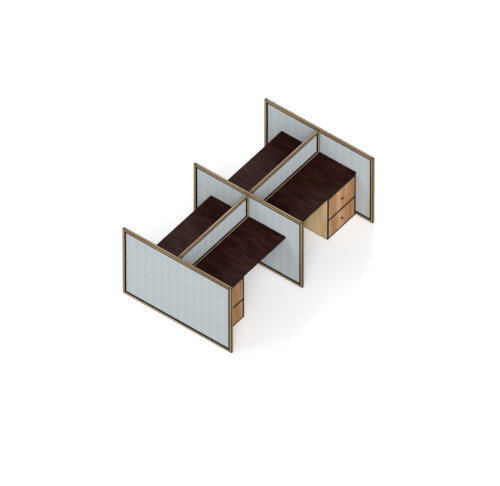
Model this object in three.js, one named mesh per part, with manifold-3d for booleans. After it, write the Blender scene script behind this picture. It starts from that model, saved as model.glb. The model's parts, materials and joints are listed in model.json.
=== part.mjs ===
// Cubicle workstation for four people: three wood-framed fabric screens across, two low screens
// along the spine, four worktops back to back, and a two-drawer pedestal under each worktop.
// Millimetres, +Z up. The origin is on the floor, under the middle of the middle screen.
// +X points to the right-hand seats, and +Y from the front screen to the back screen.
import * as THREE from "three";
import { mergeVertices } from "three/addons/utils/BufferGeometryUtils.js";
import Module from "manifold-3d";

// Layout of the cluster. The worktop depth is what shows in front of a spine screen.
const SCREEN_WIDTH = 1800;
const SCREEN_TOP = 1200;
const SCREEN_PITCH = 1500;
const WORKTOP_HEIGHT = 785;
const WORKTOP_DEPTH = 600;
const WORKTOP_THICKNESS = 35;
const WORKTOP_JOINT = 1;
const WORKTOP_EASE = 3;
const SPINE_HOUSING_DEPTH = 3;
const SEAT_GAP = 0.3;

// Screen frames: stiles and rails grooved for a fabric-covered infill board. Each rail has a stub
// tenon in the same groove of the stile. The shadow gap is the room between the fabric and the
// frame, on both faces, which a gasket covers.
const FRAME_THICKNESS = 35;
const FRAME_WIDTH = 40;
const FRAME_EASE = 1.5;
const GROOVE_WIDTH = 10;
const GROOVE_DEPTH = 12;
const TENON_SHOULDER = 6;
const TENON_CLEARANCE = 0.3;
const INFILL_THICKNESS = 20;
const INFILL_EASE = 2;
const INFILL_FLOAT = 1;
const SHADOW_GAP = 14;

// Levelling glides screwed into the bottom rails of the wide screens
const GLIDE_HEIGHT = 6;
const GLIDE_RADIUS = 15;
const GLIDE_RIM = 3;
const GLIDE_CHAMFER = 1;
const GLIDE_STEM_RADIUS = 5;
const GLIDE_STEM_BITE = 10;
const GLIDE_INSET = 120;

// Welded steel support under each pair of worktops: a tube under their joint, an end plate at
// the outer screen and a long angle at the middle screen
const BEAM_WIDTH = 80;
const BEAM_HEIGHT = 40;
const BEAM_WALL = 3;
const BEAM_CORNER = 6;
const VENT_RADIUS = 5;
const VENT_FROM_END = 60;
const WELD_BITE = 1;
const PLATE_WIDTH = 120;
const PLATE_HEIGHT = 90;
const PLATE_THICKNESS = 4;
const PLATE_CORNER = 8;
const ANGLE_END_INSET = 97.5;
const ANGLE_LEG = 40;
const ANGLE_GAUGE = 4;
const ANGLE_END_CUT = 20;
const BOLT_HOLE_RADIUS = 3.5;
const BOLT_HOLE_EDGE = 13;
const BOLT_HOLE_PITCH = 150;

// Pedestal carcass
const PEDESTAL_WIDTH = 596;
const PEDESTAL_SETBACK = 2;
const PEDESTAL_BEAM_GAP = 15.5;
const PEDESTAL_SIDE_GAP = 0.5;
const CARCASS_BOARD = 18;
const BACK_BOARD = 8;
const BACK_INSET = 10;
const RAIL_DEPTH = 80;
const LOWER_OPENING = 320;

// Drawers on wooden runners
const DRAWER_FRONT_THICKNESS = 18;
const DRAWER_FRONT_GAP = 2;
const DRAWER_FRONT_EASE = 1;
const BOX_REAR_GAP = 23.7;
const BOX_WALL = 15;
const BOX_BOTTOM = 6;
const BOX_BOTTOM_RISE = 12;
const BOX_SIDE_GAP = 3;
const BOX_FLOOR_GAP = 10;
const BOX_HEAD_GAP = 50;
const BOX_BACK_DROP = 16;
const BOX_CORNER_RADIUS = 30;
const RUNNER_HEIGHT = 20;
const RUNNER_BITE = 7;
const RUNNER_CLEARANCE = 1;
const RUNNER_FRONT_INSET = 70;
const RUNNER_HEIGHT_SHARE = 0.6;

// Knobs, each with the screw that holds it through the drawer front and the box
const KNOB_RADIUS = 18;
const KNOB_PROJECTION = 26;
const KNOB_RIM = 5;
const KNOB_UNDERCUT = 5;
const KNOB_DISH_RADIUS = 11;
const KNOB_DISH_DEPTH = 1.5;
const KNOB_NECK_RADIUS = 6.5;
const KNOB_BASE_RADIUS = 10;
const KNOB_BASE_THICKNESS = 3;
const SCREW_RADIUS = 2;
const SCREW_HOLE_CLEARANCE = 0.5;
const SCREW_HEAD_RADIUS = 4.5;
const SCREW_HEAD_THICKNESS = 2.5;

// Overrun of a cut past the face that it opens, and the steps of round shapes
const OVERRUN = 1;
const MERGE_TOLERANCE = 1e-4;
const ARC_STEPS = 3;
const EASE_STEPS = 2;
const HOLE_STEPS = 10;
const GLIDE_STEPS = 16;
const KNOB_STEPS = 16;

// Finishes
const FRAME_OAK = new THREE.MeshStandardMaterial({ color: 0xaf926b, roughness: 0.55, metalness: 0 });
const FABRIC = new THREE.MeshStandardMaterial({ color: 0xbcc4c7, roughness: 0.95, metalness: 0 });
const DARK_LAMINATE = new THREE.MeshStandardMaterial({ color: 0x301c19, roughness: 0.4, metalness: 0 });
const CARCASS_OAK = new THREE.MeshStandardMaterial({ color: 0xbea37a, roughness: 0.55, metalness: 0 });
const DRAWER_BEECH = new THREE.MeshStandardMaterial({ color: 0xb28461, roughness: 0.5, metalness: 0 });
const BIRCH_PLY = new THREE.MeshStandardMaterial({ color: 0xcdb48c, roughness: 0.7, metalness: 0 });
const DARK_METAL = new THREE.MeshStandardMaterial({ color: 0x3c3b3d, roughness: 0.35, metalness: 1 });
const BLACK_STEEL = new THREE.MeshStandardMaterial({ color: 0x2a2b2d, roughness: 0.5, metalness: 0.6 });

// Planes and levels that several pieces share
const halfFrame = FRAME_THICKNESS / 2;
const halfInfill = INFILL_THICKNESS / 2;
const halfPitch = SCREEN_PITCH / 2;
const worktopUnderside = WORKTOP_HEIGHT - WORKTOP_THICKNESS;
const worktopFront = halfFrame + WORKTOP_DEPTH;
const spineFoot = WORKTOP_HEIGHT - SPINE_HOUSING_DEPTH;
const worktopHalfLength = halfPitch - halfInfill - SEAT_GAP;
const supportTop = worktopUnderside - SEAT_GAP;
const angleHalfLength = worktopFront - ANGLE_END_INSET;
const pedestalFront = worktopFront - PEDESTAL_SETBACK;
const pedestalBack = BEAM_WIDTH / 2 + PEDESTAL_BEAM_GAP;
const pedestalOffset = SCREEN_PITCH - halfFrame - PEDESTAL_SIDE_GAP - PEDESTAL_WIDTH / 2;
const carcassInside = PEDESTAL_WIDTH / 2 - CARCASS_BOARD;
const boxFront = pedestalFront - DRAWER_FRONT_THICKNESS - SEAT_GAP;
const boxBack = pedestalBack + BACK_INSET + BACK_BOARD + BOX_REAR_GAP;
const boxHalfWidth = carcassInside - BOX_SIDE_GAP;
const runnerFront = pedestalFront - RUNNER_FRONT_INSET;
const lowerDrawer = { bottom: CARCASS_BOARD, top: CARCASS_BOARD + LOWER_OPENING };
const upperDrawer = { bottom: lowerDrawer.top + CARCASS_BOARD, top: supportTop - CARCASS_BOARD };

const wasm = await Module();
wasm.setup();

// Turns a closed geometry into a solid that can be joined and cut.
function solidOf(geometry) {
  const bare = geometry.clone();
  bare.deleteAttribute("normal");
  bare.deleteAttribute("uv");
  const merged = mergeVertices(bare, MERGE_TOLERANCE);
  return new wasm.Manifold(
    new wasm.Mesh({
      numProp: 3,
      vertProperties: merged.attributes.position.array,
      triVerts: new Uint32Array(merged.index.array),
    }),
  );
}

// Turns a joined or cut solid back into a geometry with flat faces.
function geometryOf(solid) {
  const mesh = solid.getMesh();
  const indexed = new THREE.BufferGeometry();
  indexed.setAttribute("position", new THREE.BufferAttribute(new Float32Array(mesh.vertProperties), 3));
  indexed.setIndex(new THREE.BufferAttribute(new Uint32Array(mesh.triVerts), 1));
  const flat = indexed.toNonIndexed();
  flat.computeVertexNormals();
  return flat;
}

// Joins the first geometries and takes the others away.
function shaped(joined, cut) {
  const whole = joined.map(solidOf).reduce((sum, next) => sum.add(next));
  return geometryOf(cut.map(solidOf).reduce((rest, next) => rest.subtract(next), whole));
}

// A named piece in a finish of its own.
function piece(name, geometry, finish) {
  const mesh = new THREE.Mesh(geometry, finish.clone());
  mesh.name = name;
  return mesh;
}

// A box between two corners.
function block([x0, y0, z0], [x1, y1, z1]) {
  const box = new THREE.BoxGeometry(x1 - x0, y1 - y0, z1 - z0);
  return box.translate((x0 + x1) / 2, (y0 + y1) / 2, (z0 + z1) / 2);
}

// A round hole's core with its axis along X.
function holeAlongX(radius, x0, x1, y, z) {
  const core = new THREE.CylinderGeometry(radius, radius, x1 - x0, HOLE_STEPS);
  return core.rotateZ(Math.PI / 2).translate((x0 + x1) / 2, y, z);
}

// A round hole's core with its axis along Y.
function holeAlongY(radius, x, y0, y1, z) {
  const core = new THREE.CylinderGeometry(radius, radius, y1 - y0, HOLE_STEPS);
  return core.translate(x, (y0 + y1) / 2, z);
}

// A round hole's core with its axis along Z.
function holeAlongZ(radius, x, y, z0, z1) {
  const core = new THREE.CylinderGeometry(radius, radius, z1 - z0, HOLE_STEPS);
  return core.rotateX(Math.PI / 2).translate(x, y, (z0 + z1) / 2);
}

// Extrudes an outline drawn in X (right) and Z (up) along Y, from y0 to y1.
function extrudedAlongY(outline, y0, y1) {
  const settings = { depth: y1 - y0, bevelEnabled: false, curveSegments: ARC_STEPS };
  return new THREE.ExtrudeGeometry(outline, settings).rotateX(Math.PI / 2).translate(0, y1, 0);
}

// Draws a rectangle with round corners, centred on the origin, into a shape or a hole.
function roundedRectangle(path, width, height, radius) {
  const x = width / 2 - radius;
  const y = height / 2 - radius;
  path.moveTo(width / 2, -y);
  path.lineTo(width / 2, y);
  path.absarc(x, y, radius, 0, Math.PI / 2);
  path.absarc(-x, y, radius, Math.PI / 2, Math.PI);
  path.absarc(-x, -y, radius, Math.PI, (3 * Math.PI) / 2);
  path.absarc(x, -y, radius, (3 * Math.PI) / 2, 2 * Math.PI);
  return path;
}

// A board with eased arrises all round. It stands in X and Z, centred on X, Y and Z.
function easedBoard(width, height, thickness, ease) {
  const x = width / 2 - ease;
  const z = height / 2 - ease;
  const face = new THREE.Shape([
    new THREE.Vector2(-x, -z),
    new THREE.Vector2(x, -z),
    new THREE.Vector2(x, z),
    new THREE.Vector2(-x, z),
  ]);
  const board = new THREE.ExtrudeGeometry(face, {
    depth: thickness - 2 * ease,
    bevelThickness: ease,
    bevelSize: ease,
    bevelSegments: EASE_STEPS,
  });
  return board.translate(0, 0, ease - thickness / 2).rotateX(Math.PI / 2);
}

// A levelling glide: a chamfered foot on a stem that bites into the bottom rail.
function levellingGlide(x) {
  const profile = [
    [0, 0],
    [GLIDE_RADIUS - GLIDE_CHAMFER, 0],
    [GLIDE_RADIUS, GLIDE_CHAMFER],
    [GLIDE_RADIUS, GLIDE_RIM],
    [GLIDE_STEM_RADIUS, GLIDE_RIM + GLIDE_CHAMFER],
    [GLIDE_STEM_RADIUS, GLIDE_HEIGHT + GLIDE_STEM_BITE],
    [0, GLIDE_HEIGHT + GLIDE_STEM_BITE],
  ].map(([r, z]) => new THREE.Vector2(r, z));
  return new THREE.LatheGeometry(profile, GLIDE_STEPS).rotateX(Math.PI / 2).translate(x, 0, 0);
}

// A framed screen that stands in X and Z, centred on X and Y. ends names its two stiles.
// The assembled frame is eased all round its outside, so each member is cut by that envelope.
function framedScreen(name, ends, width, bottom, top, feet) {
  const group = new THREE.Group();
  const half = width / 2;
  const openingHalf = half - FRAME_WIDTH;
  const openingLow = bottom + FRAME_WIDTH;
  const openingHigh = top - FRAME_WIDTH;
  const middle = (bottom + top) / 2;
  const halfGroove = GROOVE_WIDTH / 2;
  const envelope = solidOf(
    easedBoard(width, top - bottom, FRAME_THICKNESS, FRAME_EASE).translate(0, 0, middle),
  );

  const stileGroove = block(
    [-openingHalf - GROOVE_DEPTH, -halfGroove, bottom + TENON_SHOULDER],
    [openingHalf + GROOVE_DEPTH, halfGroove, top - TENON_SHOULDER],
  );
  for (const [end, sign] of [
    [ends[0], -1],
    [ends[1], 1],
  ]) {
    const outer = sign * half;
    const inner = sign * openingHalf;
    const body = block(
      [Math.min(outer, inner), -halfFrame, bottom],
      [Math.max(outer, inner), halfFrame, top],
    );
    const stile = solidOf(body).intersect(envelope).subtract(solidOf(stileGroove));
    group.add(piece(`${name}_${end}_stile`, geometryOf(stile), FRAME_OAK));
  }

  const railEnd = openingHalf - SEAT_GAP;
  const tenonEnd = openingHalf + GROOVE_DEPTH - INFILL_FLOAT;
  const tenonHalf = halfGroove - TENON_CLEARANCE;
  const railGroove = block(
    [-half, -halfGroove, openingLow - GROOVE_DEPTH],
    [half, halfGroove, openingHigh + GROOVE_DEPTH],
  );
  const rails = [
    { end: "bottom", low: bottom, high: openingLow, outer: bottom, inward: 1, glides: feet },
    { end: "top", low: openingHigh, high: top, outer: top, inward: -1, glides: [] },
  ];
  for (const { end, low, high, outer, inward, glides } of rails) {
    const shoulder = outer + inward * (TENON_SHOULDER + TENON_CLEARANCE);
    const grooveFloor = outer + inward * (FRAME_WIDTH - GROOVE_DEPTH);
    const body = block([-railEnd, -halfFrame, low], [railEnd, halfFrame, high]);
    const tenons = block(
      [-tenonEnd, -tenonHalf, Math.min(shoulder, grooveFloor)],
      [tenonEnd, tenonHalf, Math.max(shoulder, grooveFloor)],
    );
    let rail = solidOf(body).intersect(envelope).subtract(solidOf(railGroove)).add(solidOf(tenons));
    for (const x of glides) {
      rail = rail.add(solidOf(levellingGlide(x)));
    }
    group.add(piece(`${name}_${end}_rail`, geometryOf(rail), FRAME_OAK));
  }

  const field = easedBoard(
    2 * (openingHalf - SHADOW_GAP),
    openingHigh - openingLow - 2 * SHADOW_GAP,
    INFILL_THICKNESS,
    INFILL_EASE,
  ).translate(0, 0, middle);
  const reach = GROOVE_DEPTH - INFILL_FLOAT;
  const tongue = block(
    [-openingHalf - reach, -tenonHalf, openingLow - reach],
    [openingHalf + reach, tenonHalf, openingHigh + reach],
  );
  group.add(piece(`${name}_infill`, shaped([field, tongue], []), FABRIC));
  return group;
}

// A worktop on the right-hand side, with its free long edge eased. Along its back edge a shallow
// housing takes half of the spine screen's foot.
function worktop(name) {
  const back = WORKTOP_JOINT / 2;
  const round = WORKTOP_EASE;
  const housingSide = halfFrame + SEAT_GAP;
  const section = new THREE.Shape();
  section.moveTo(housingSide, WORKTOP_HEIGHT);
  section.lineTo(housingSide, spineFoot);
  section.lineTo(back, spineFoot);
  section.lineTo(back, worktopUnderside);
  section.absarc(worktopFront - round, worktopUnderside + round, round, -Math.PI / 2, 0);
  section.absarc(worktopFront - round, WORKTOP_HEIGHT - round, round, 0, Math.PI / 2);
  const board = extrudedAlongY(section, -worktopHalfLength, worktopHalfLength);
  return piece(name, board, DARK_LAMINATE);
}

// The welded support of the front bay. Its end plate is at -Y and its angle at +Y.
function worktopSupport(name) {
  const reach = worktopHalfLength;
  const beamMiddle = supportTop - BEAM_HEIGHT / 2;
  const tube = roundedRectangle(new THREE.Shape(), BEAM_WIDTH, BEAM_HEIGHT, BEAM_CORNER);
  tube.holes.push(
    roundedRectangle(
      new THREE.Path(),
      BEAM_WIDTH - 2 * BEAM_WALL,
      BEAM_HEIGHT - 2 * BEAM_WALL,
      BEAM_CORNER - BEAM_WALL,
    ),
  );
  const plateEnd = PLATE_THICKNESS - reach;
  const angleEnd = reach - ANGLE_GAUGE;
  const beam = extrudedAlongY(tube, plateEnd - WELD_BITE, angleEnd + WELD_BITE).translate(0, 0, beamMiddle);

  const plateShape = roundedRectangle(new THREE.Shape(), PLATE_WIDTH, PLATE_HEIGHT, PLATE_CORNER);
  const plateMiddle = supportTop - PLATE_HEIGHT / 2;
  const plate = extrudedAlongY(plateShape, -reach, plateEnd).translate(0, 0, plateMiddle);

  // The angle's upright leg is cut back at its ends, below the seat of the worktops.
  const legBottom = supportTop - ANGLE_LEG;
  const upright = new THREE.Shape([
    new THREE.Vector2(-angleHalfLength, supportTop),
    new THREE.Vector2(-angleHalfLength, supportTop - ANGLE_GAUGE),
    new THREE.Vector2(ANGLE_END_CUT - angleHalfLength, legBottom),
    new THREE.Vector2(angleHalfLength - ANGLE_END_CUT, legBottom),
    new THREE.Vector2(angleHalfLength, supportTop - ANGLE_GAUGE),
    new THREE.Vector2(angleHalfLength, supportTop),
  ]);
  const uprightLeg = extrudedAlongY(upright, angleEnd, reach);
  const seatLeg = block(
    [-angleHalfLength, reach - ANGLE_LEG, supportTop - ANGLE_GAUGE],
    [angleHalfLength, reach, supportTop],
  );

  const holes = [];
  for (const y of [VENT_FROM_END - reach, reach - VENT_FROM_END]) {
    const low = supportTop - BEAM_HEIGHT - OVERRUN;
    holes.push(holeAlongZ(VENT_RADIUS, 0, y, low, beamMiddle));
  }
  for (const side of [-1, 1]) {
    const plateHoleX = side * (PLATE_WIDTH / 2 - BOLT_HOLE_EDGE);
    const plateHoleZ = supportTop - PLATE_HEIGHT + BOLT_HOLE_EDGE;
    holes.push(holeAlongY(BOLT_HOLE_RADIUS, plateHoleX, -reach - OVERRUN, plateEnd + OVERRUN, plateHoleZ));
    for (let x = BOLT_HOLE_PITCH / 2; x < angleHalfLength - ANGLE_END_CUT; x += BOLT_HOLE_PITCH) {
      const uprightZ = legBottom + BOLT_HOLE_EDGE;
      const seatY = reach - ANGLE_LEG + BOLT_HOLE_EDGE;
      holes.push(holeAlongY(BOLT_HOLE_RADIUS, side * x, angleEnd - OVERRUN, reach + OVERRUN, uprightZ));
      const underSeat = supportTop - ANGLE_GAUGE - OVERRUN;
      holes.push(holeAlongZ(BOLT_HOLE_RADIUS, side * x, seatY, underSeat, supportTop + OVERRUN));
    }
  }
  return piece(name, shaped([beam, plate, uprightLeg, seatLeg], holes), BLACK_STEEL);
}

// Bottom and top of a drawer box, and bottom and top of its runners, in one opening.
function drawerLevels({ bottom, top }) {
  const boxBottom = bottom + BOX_FLOOR_GAP;
  const boxTop = top - BOX_HEAD_GAP;
  const runnerBottom = boxBottom + RUNNER_HEIGHT_SHARE * (boxTop - boxBottom);
  return { boxBottom, boxTop, runnerBottom, runnerTop: runnerBottom + RUNNER_HEIGHT };
}

// The pedestal's carcass: five boards and a front rail round two openings, with a runner on
// each side of both. It is centred on Y, and its open front faces +X.
function carcass(name) {
  const half = PEDESTAL_WIDTH / 2;
  const cuts = [];
  const runners = [];
  for (const opening of [lowerDrawer, upperDrawer]) {
    const { runnerBottom, runnerTop } = drawerLevels(opening);
    cuts.push(
      block(
        [pedestalBack + BACK_INSET + BACK_BOARD, -carcassInside, opening.bottom],
        [pedestalFront + OVERRUN, carcassInside, opening.top],
      ),
    );
    for (const side of [-1, 1]) {
      const wall = side * (carcassInside + CARCASS_BOARD / 2);
      const tip = side * (boxHalfWidth - RUNNER_BITE);
      runners.push(
        block(
          [pedestalBack + BACK_INSET, Math.min(wall, tip), runnerBottom],
          [runnerFront, Math.max(wall, tip), runnerTop],
        ),
      );
    }
  }
  const behindRail = block(
    [pedestalBack + BACK_INSET + BACK_BOARD, -carcassInside, lowerDrawer.top - OVERRUN],
    [pedestalFront - RAIL_DEPTH, carcassInside, upperDrawer.bottom + OVERRUN],
  );
  const behindBack = block(
    [pedestalBack - OVERRUN, -carcassInside, CARCASS_BOARD],
    [pedestalBack + BACK_INSET, carcassInside, upperDrawer.top],
  );
  const body = block([pedestalBack, -half, 0], [pedestalFront, half, supportTop]);
  const hollow = cuts.concat(behindRail, behindBack).map(solidOf);
  const shell = hollow.reduce((rest, cut) => rest.subtract(cut), solidOf(body));
  const whole = runners.map(solidOf).reduce((sum, runner) => sum.add(runner), shell);
  return piece(name, geometryOf(whole), CARCASS_OAK);
}

// A drawer box: open at the top, its bottom let in above the lower edges, its back lower than
// its sides, and a stopped groove in each side for the runner.
function drawerBox(name, opening) {
  const { boxBottom, boxTop, runnerBottom, runnerTop } = drawerLevels(opening);
  const outline = new THREE.Shape();
  outline.moveTo(boxBack, boxBottom);
  outline.lineTo(boxFront, boxBottom);
  outline.lineTo(boxFront, boxTop);
  const corner = BOX_CORNER_RADIUS;
  outline.absarc(boxBack + corner, boxTop - corner, corner, Math.PI / 2, Math.PI);
  const body = extrudedAlongY(outline, -boxHalfWidth, boxHalfWidth);

  const insideHalf = boxHalfWidth - BOX_WALL;
  const tray = block(
    [boxBack + BOX_WALL, -insideHalf, boxBottom + BOX_BOTTOM_RISE + BOX_BOTTOM],
    [boxFront - BOX_WALL, insideHalf, boxTop + OVERRUN],
  );
  const underside = block(
    [boxBack - OVERRUN, -insideHalf, boxBottom - OVERRUN],
    [boxFront - BOX_WALL, insideHalf, boxBottom + BOX_BOTTOM_RISE],
  );
  const backDrop = block(
    [boxBack - OVERRUN, -insideHalf, boxTop - corner - BOX_BACK_DROP],
    [boxBack + BOX_WALL + OVERRUN, insideHalf, boxTop + OVERRUN],
  );
  const grooves = [-1, 1].map((side) => {
    const floor = side * (boxHalfWidth - RUNNER_BITE - RUNNER_CLEARANCE);
    const open = side * (boxHalfWidth + OVERRUN);
    return block(
      [boxBack - OVERRUN, Math.min(floor, open), runnerBottom - RUNNER_CLEARANCE],
      [runnerFront + RUNNER_CLEARANCE, Math.max(floor, open), runnerTop + SEAT_GAP],
    );
  });
  const knobHole = holeAlongX(
    SCREW_RADIUS + SCREW_HOLE_CLEARANCE,
    boxFront - BOX_WALL - OVERRUN,
    boxFront + OVERRUN,
    0,
    (opening.bottom + opening.top) / 2,
  );
  return piece(name, shaped([body], [tray, underside, backDrop, ...grooves, knobHole]), BIRCH_PLY);
}

// A drawer front, inset in its opening with an even gap all round.
function drawerFront(name, opening) {
  const width = 2 * (carcassInside - DRAWER_FRONT_GAP);
  const height = opening.top - opening.bottom - 2 * DRAWER_FRONT_GAP;
  const middle = (opening.bottom + opening.top) / 2;
  const board = easedBoard(width, height, DRAWER_FRONT_THICKNESS, DRAWER_FRONT_EASE)
    .rotateZ(Math.PI / 2)
    .translate(pedestalFront - DRAWER_FRONT_THICKNESS / 2, 0, middle);
  const hole = holeAlongX(
    SCREW_RADIUS + SCREW_HOLE_CLEARANCE,
    pedestalFront - DRAWER_FRONT_THICKNESS - OVERRUN,
    pedestalFront + OVERRUN,
    0,
    middle,
  );
  return piece(name, shaped([board], [hole]), DRAWER_BEECH);
}

// A turned knob and the screw behind it, as one revolved profile from the screw's head inside
// the box to the knob's dished face.
function knob(name, opening) {
  const seat = pedestalFront + SEAT_GAP;
  const headSeat = boxFront - BOX_WALL - SEAT_GAP - seat;
  const face = KNOB_PROJECTION;
  const profile = [
    [0, headSeat - SCREW_HEAD_THICKNESS],
    [SCREW_HEAD_RADIUS, headSeat - SCREW_HEAD_THICKNESS],
    [SCREW_HEAD_RADIUS, headSeat],
    [SCREW_RADIUS, headSeat],
    [SCREW_RADIUS, 0],
    [KNOB_BASE_RADIUS, 0],
    [KNOB_BASE_RADIUS, KNOB_BASE_THICKNESS],
    [KNOB_NECK_RADIUS, 2 * KNOB_BASE_THICKNESS],
    [KNOB_NECK_RADIUS, face - KNOB_RIM - 2 * KNOB_UNDERCUT],
    [KNOB_RADIUS, face - KNOB_RIM - KNOB_UNDERCUT / 2],
    [KNOB_RADIUS, face - KNOB_RIM / 2],
    [KNOB_RADIUS - KNOB_RIM / 2, face],
    [KNOB_DISH_RADIUS, face],
    [KNOB_DISH_RADIUS - KNOB_DISH_DEPTH, face - KNOB_DISH_DEPTH],
    [0, face - KNOB_DISH_DEPTH],
  ].map(([r, x]) => new THREE.Vector2(r, x));
  const turned = new THREE.LatheGeometry(profile, KNOB_STEPS)
    .rotateZ(-Math.PI / 2)
    .translate(seat, 0, (opening.bottom + opening.top) / 2);
  return piece(name, turned, DARK_METAL);
}

// A pedestal with its two drawers, centred on Y, with its fronts facing +X.
function pedestal(place) {
  const group = new THREE.Group();
  group.add(carcass(`${place}_carcass`));
  for (const [level, opening] of [
    ["upper", upperDrawer],
    ["lower", lowerDrawer],
  ]) {
    group.add(drawerBox(`${place}_${level}_box`, opening));
    group.add(drawerFront(`${place}_${level}_front`, opening));
    group.add(knob(`${place}_${level}_knob`, opening));
  }
  return group;
}

// A piece or group turned about Z and moved along Y.
function placed(item, turn, y) {
  item.rotation.z = turn;
  item.position.y = y;
  return item;
}

const workstation = new THREE.Group();

for (const [name, y] of [
  ["front_screen", -SCREEN_PITCH],
  ["middle_screen", 0],
  ["back_screen", SCREEN_PITCH],
]) {
  const glideX = SCREEN_WIDTH / 2 - GLIDE_INSET;
  const screen = framedScreen(
    name,
    ["left", "right"],
    SCREEN_WIDTH,
    GLIDE_HEIGHT,
    SCREEN_TOP,
    [-glideX, 0, glideX],
  );
  workstation.add(placed(screen, 0, y));
}

for (const [bay, sign] of [
  ["front", -1],
  ["back", 1],
]) {
  const spine = framedScreen(
    `${bay}_spine`,
    ["front", "back"],
    SCREEN_PITCH - FRAME_THICKNESS - 2 * SEAT_GAP,
    spineFoot + SEAT_GAP,
    SCREEN_TOP,
    [],
  );
  workstation.add(placed(spine, Math.PI / 2, sign * halfPitch));
  workstation.add(placed(worktopSupport(`${bay}_worktop_support`), sign < 0 ? 0 : Math.PI, sign * halfPitch));
  for (const [side, turn] of [
    ["left", Math.PI],
    ["right", 0],
  ]) {
    workstation.add(placed(worktop(`${bay}_${side}_worktop`), turn, sign * halfPitch));
    workstation.add(placed(pedestal(`${bay}_${side}`), turn, sign * pedestalOffset));
  }
}

export default workstation;
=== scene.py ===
import json
import math
from contextlib import contextmanager

import bmesh
import bpy
from mathutils import Matrix, Vector


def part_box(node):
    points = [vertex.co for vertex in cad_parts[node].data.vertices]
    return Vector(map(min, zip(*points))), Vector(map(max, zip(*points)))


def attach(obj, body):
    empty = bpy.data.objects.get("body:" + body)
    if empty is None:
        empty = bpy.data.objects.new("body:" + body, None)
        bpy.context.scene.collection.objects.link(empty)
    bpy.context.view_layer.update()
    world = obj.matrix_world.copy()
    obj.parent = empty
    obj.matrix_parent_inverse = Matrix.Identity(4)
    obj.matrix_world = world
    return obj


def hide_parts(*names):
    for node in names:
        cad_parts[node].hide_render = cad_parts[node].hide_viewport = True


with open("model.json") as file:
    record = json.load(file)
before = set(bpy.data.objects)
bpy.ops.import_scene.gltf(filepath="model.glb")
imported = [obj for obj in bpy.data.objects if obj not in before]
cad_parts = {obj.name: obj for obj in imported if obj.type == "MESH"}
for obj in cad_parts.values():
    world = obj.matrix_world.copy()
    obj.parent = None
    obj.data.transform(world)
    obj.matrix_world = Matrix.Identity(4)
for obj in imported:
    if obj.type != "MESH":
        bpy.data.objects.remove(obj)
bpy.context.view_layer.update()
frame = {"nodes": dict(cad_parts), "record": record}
nodes = frame["nodes"]
bodies = frame["record"]["behaviour"]["bodies"]
body_of = {node: body for body, kept in bodies.items() for node in kept}

WIDE_SCREENS = ["front_screen", "middle_screen", "back_screen"]
SPINE_SCREENS = ["front_spine", "back_spine"]
BAYS = ["front", "back"]
SIDES = ["left", "right"]
LEVELS = ["upper", "lower"]
PEDESTALS = [f"{bay}_{side}" for bay in BAYS for side in SIDES]
DRAWERS = [f"{pedestal}_{level}" for pedestal in PEDESTALS for level in LEVELS]

# The photograph's view: a parallel one, so a very long lens stands in for it.
VIEW_AZIMUTH = math.radians(37.972)
VIEW_ELEVATION = math.radians(45.548)
VIEW_WIDTH = 6.5195
AIM_RIGHT = 0.0163
AIM_UP = 0.189
AIM_HEIGHT = 0.6
LENS = 1600
SENSOR = 36
CLIP = (1.0, 2000.0)

# Light, with the direction of each lamp in degrees, and the floor
SKY_LEVEL = 0.34
LAMPS = {
    "key_light": {"level": 1.52, "azimuth": 33, "elevation": 42},
    "left_light": {"level": 0.62, "azimuth": -30, "elevation": 36},
    "right_light": {"level": 0.68, "azimuth": 78, "elevation": 36},
    "low_light": {"level": 0.75, "azimuth": 50, "elevation": 12},
    "back_light": {"level": 2.0, "azimuth": 222, "elevation": 26},
}
LAMP_SPREAD = math.radians(28)
FLOOR_SIZE = 800
FLOOR_SHADE = 0.38
FLOOR_SEEN_SHADE = 0.85
FLOOR_GLOW = 0.22
WHITE = (1, 1, 1, 1)

# Fabric boards and the black gaskets round them
SHADOW_GAP = 0.014
TONGUE_THICKNESS = 0.0094
WRAP_RADIUS = 0.004
WRAP_STEPS = 4
PAD_WALL_SLOPE = 0.0001
PAD_EDGE = 0.022
PAD_RISE = 0.0007
PAD_RISE_SHARES = (0.7, 0.3)
GASKET_CLEARANCE = 0.0003
GASKET_SINK = 0.0008
GASKET_ROUND = 0.0022
GASKET_STEPS = 3

# Knobs: the head with its flare, rim and dish, the neck, the base on the drawer's face, the screw
SEAT_GAP = 0.0003
KNOB_SIDES = 56
KNOB_FLARE_REACH = 0.007
KNOB_FLARE_CURVE = 1.6
KNOB_FLARE_STEPS = 5
KNOB_RIM_REACH = 0.007
KNOB_RIM_ROUND = 0.0022
KNOB_RIM_BACK_STEPS = 4
KNOB_RIM_FRONT_STEPS = 5
KNOB_DISH_RADIUS = 0.011
KNOB_DISH_DEPTH = 0.0016
KNOB_LIP_WIDTH = 0.0004
KNOB_LIP_DROP = 0.0003
KNOB_DISH_SLOPE = 0.0012
KNOB_DISH_SAG = 0.0002
KNOB_NIB_RADIUS = 0.0022
KNOB_NIB_TOP_RADIUS = 0.0012
KNOB_NIB_SHOULDER = 0.0004
KNOB_NIB_HEIGHT = 0.0005
KNOB_NECK_RADIUS = 0.0085
KNOB_NECK_FILLET_WIDTH = 0.0012
KNOB_NECK_FILLET_HEIGHT = 0.0008
KNOB_BASE_RADIUS = 0.0125
KNOB_BASE_THICKNESS = 0.0024
KNOB_BASE_BEVEL_WIDTH = 0.0007
KNOB_BASE_BEVEL_HEIGHT = 0.00072
SCREW_RADIUS = 0.002
SCREW_HEAD_RADIUS = 0.0045
SCREW_HEAD_THICKNESS = 0.0025
SCREW_HEAD_BEVEL_WIDTH = 0.0009
SCREW_HEAD_BEVEL_HEIGHT = 0.001
MERGE_DISTANCE = 0.00001

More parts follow.
